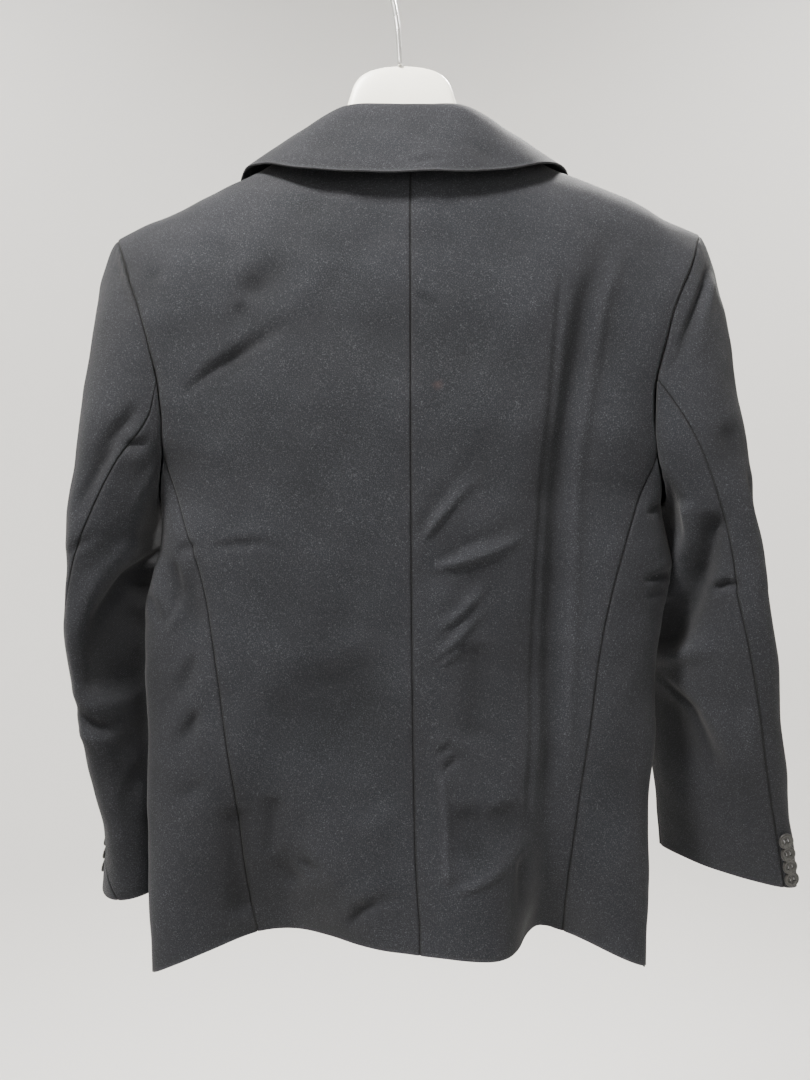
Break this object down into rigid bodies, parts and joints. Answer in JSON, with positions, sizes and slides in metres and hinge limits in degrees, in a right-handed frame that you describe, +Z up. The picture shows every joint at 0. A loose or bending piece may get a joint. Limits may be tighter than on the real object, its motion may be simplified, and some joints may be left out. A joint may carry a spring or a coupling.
{
  "type": "blazer on hanger",
  "caption": "Tailored wool blazer with notched lapels and side panels, hanging closed on a moulded hanger with a wire hook.",
  "frame": {"origin": "inner top of the hook, where the rail bears", "axes": "+Z up, -Y the way the front of the blazer faces, +X towards the wearer's left"},
  "size_m": [0.6356, 0.1632, 0.9123],
  "materials": {
    "back_left_wool": "charcoal melange wool",
    "back_right_wool": "charcoal melange wool",
    "collar_wool": "charcoal melange wool",
    "cuff_button_left_1_horn": "marbled grey",
    "cuff_button_left_2_horn": "marbled grey",
    "cuff_button_left_3_horn": "marbled grey",
    "cuff_button_left_4_horn": "marbled grey",
    "cuff_button_right_1_horn": "marbled grey",
    "cuff_button_right_2_horn": "marbled grey",
    "cuff_button_right_3_horn": "marbled grey",
    "cuff_button_right_4_horn": "marbled grey",
    "front_button_horn": "marbled grey",
    "front_left_wool": "charcoal melange wool",
    "front_right_wool": "charcoal melange wool",
    "hanger_plastic": "smooth cream",
    "hook_steel": "bright plated wire",
    "lapel_left_wool": "charcoal melange wool",
    "lapel_right_wool": "charcoal melange wool",
    "side_left_wool": "charcoal melange wool",
    "side_right_wool": "charcoal melange wool",
    "top_sleeve_left_wool": "charcoal melange wool",
    "top_sleeve_right_wool": "charcoal melange wool",
    "under_sleeve_left_wool": "charcoal melange wool",
    "under_sleeve_right_wool": "charcoal melange wool"
  },
  "bodies": {
    "root": {"back_left": "back_left_wool", "back_right": "back_right_wool", "collar": "collar_wool", "cuff_button_left_1": "cuff_button_left_1_horn", "cuff_button_left_2": "cuff_button_left_2_horn", "cuff_button_left_3": "cuff_button_left_3_horn", "cuff_button_left_4": "cuff_button_left_4_horn", "cuff_button_right_1": "cuff_button_right_1_horn", "cuff_button_right_2": "cuff_button_right_2_horn", "cuff_button_right_3": "cuff_button_right_3_horn", "cuff_button_right_4": "cuff_button_right_4_horn", "front_button": "front_button_horn", "front_left": "front_left_wool", "front_right": "front_right_wool", "hanger": "hanger_plastic", "hook": "hook_steel", "lapel_left": "lapel_left_wool", "lapel_right": "lapel_right_wool", "side_left": "side_left_wool", "side_right": "side_right_wool", "top_sleeve_left": "top_sleeve_left_wool", "top_sleeve_right": "top_sleeve_right_wool", "under_sleeve_left": "under_sleeve_left_wool", "under_sleeve_right": "under_sleeve_right_wool"}
  },
  "joints": []
}
